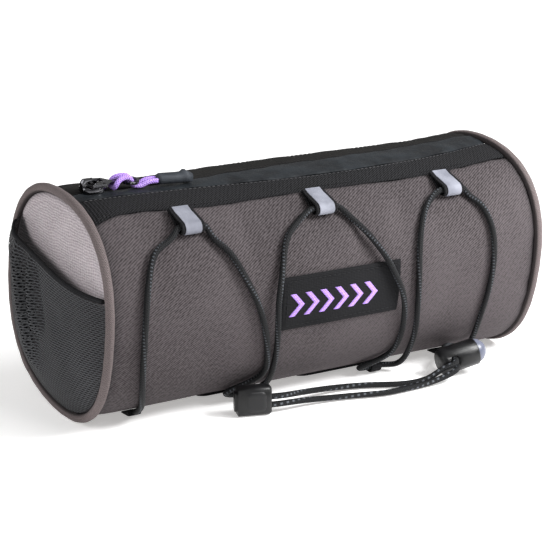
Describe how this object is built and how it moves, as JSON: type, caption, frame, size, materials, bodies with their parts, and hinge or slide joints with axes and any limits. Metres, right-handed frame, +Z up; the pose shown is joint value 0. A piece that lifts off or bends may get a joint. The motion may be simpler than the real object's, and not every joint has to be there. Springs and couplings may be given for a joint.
{
  "type": "bicycle handlebar bag",
  "caption": "Barrel-shaped cloth bag for a bicycle handlebar, with a zip along the top, a mesh pocket on each end and an elastic cord laced over the front.",
  "frame": {"origin": "the middle of the flattened underside, on the surface that the bag rests on", "axes": "+X along the barrel to the right end, -Y to the laced front, +Z up"},
  "size_m": [0.2746, 0.1305, 0.1176],
  "materials": {
    "grey_twill": "matt heather twill",
    "light_grey_twill": "matt ribbed twill",
    "black_twill": "matt twill",
    "black_ribbed_cloth": "matt ribbed cloth",
    "coated_zip_tape": "satin coated cloth",
    "black_zip_coil": "matt nylon",
    "black_webbing": "woven",
    "dark_mesh": "matt elastic mesh",
    "black_label": "finely ribbed",
    "black_elastic_cord": "braided",
    "black_plastic": "satin",
    "grey_plastic": "satin",
    "black_plated_metal": "polished black plating",
    "purple_cord": "braided",
    "black_rubber": "matt"
  },
  "bodies": {
    "bag": {"body_panel": "grey_twill", "end_panel_left": "light_grey_twill", "end_panel_right": "light_grey_twill", "piping_left": "light_grey_twill", "piping_right": "light_grey_twill", "front_strip": "black_twill", "front_tape": "coated_zip_tape", "back_strip": "black_ribbed_cloth", "zip_coil": "black_zip_coil", "zip_slider": "black_plated_metal", "top_loop_1": "black_webbing", "top_loop_2": "black_webbing", "top_loop_3": "black_webbing", "bottom_loop_1": "black_webbing", "bottom_loop_2": "black_webbing", "bottom_tab_1": "black_webbing", "bottom_tab_2": "black_webbing", "label_patch": "black_label", "bungee_lacing": "black_elastic_cord", "bungee_anchor": "black_elastic_cord", "bungee_tail_upper": "black_elastic_cord", "bungee_tail_lower": "black_elastic_cord", "cord_lock_body": "black_plastic", "cord_end_clip": "black_plastic", "mesh_pocket_left": "dark_mesh", "mesh_pocket_right": "dark_mesh", "pocket_binding_left": "black_webbing", "pocket_binding_right": "black_webbing", "bar_strap_left": "black_webbing", "bar_strap_right": "black_webbing"},
    "puller": {"pull_tab": "black_plated_metal", "pull_cord": "purple_cord", "pull_grip": "black_rubber"},
    "lock_button": {"cord_lock_button": "grey_plastic"}
  },
  "joints": [
    {"name": "puller_hinge", "type": "hinge", "parent": "bag", "child": "puller", "pos_m": [-0.112, -0.00868, 0.11432], "axis": [-0.0558, -0.9875, -0.1475], "range_deg": [0, 150]},
    {"name": "button_slide", "type": "slide", "parent": "bag", "child": "lock_button", "axis": [-0.9568, 0.2034, -0.2079], "range_m": [0, 0.0025], "stiffness_N_per_m": 250}
  ]
}
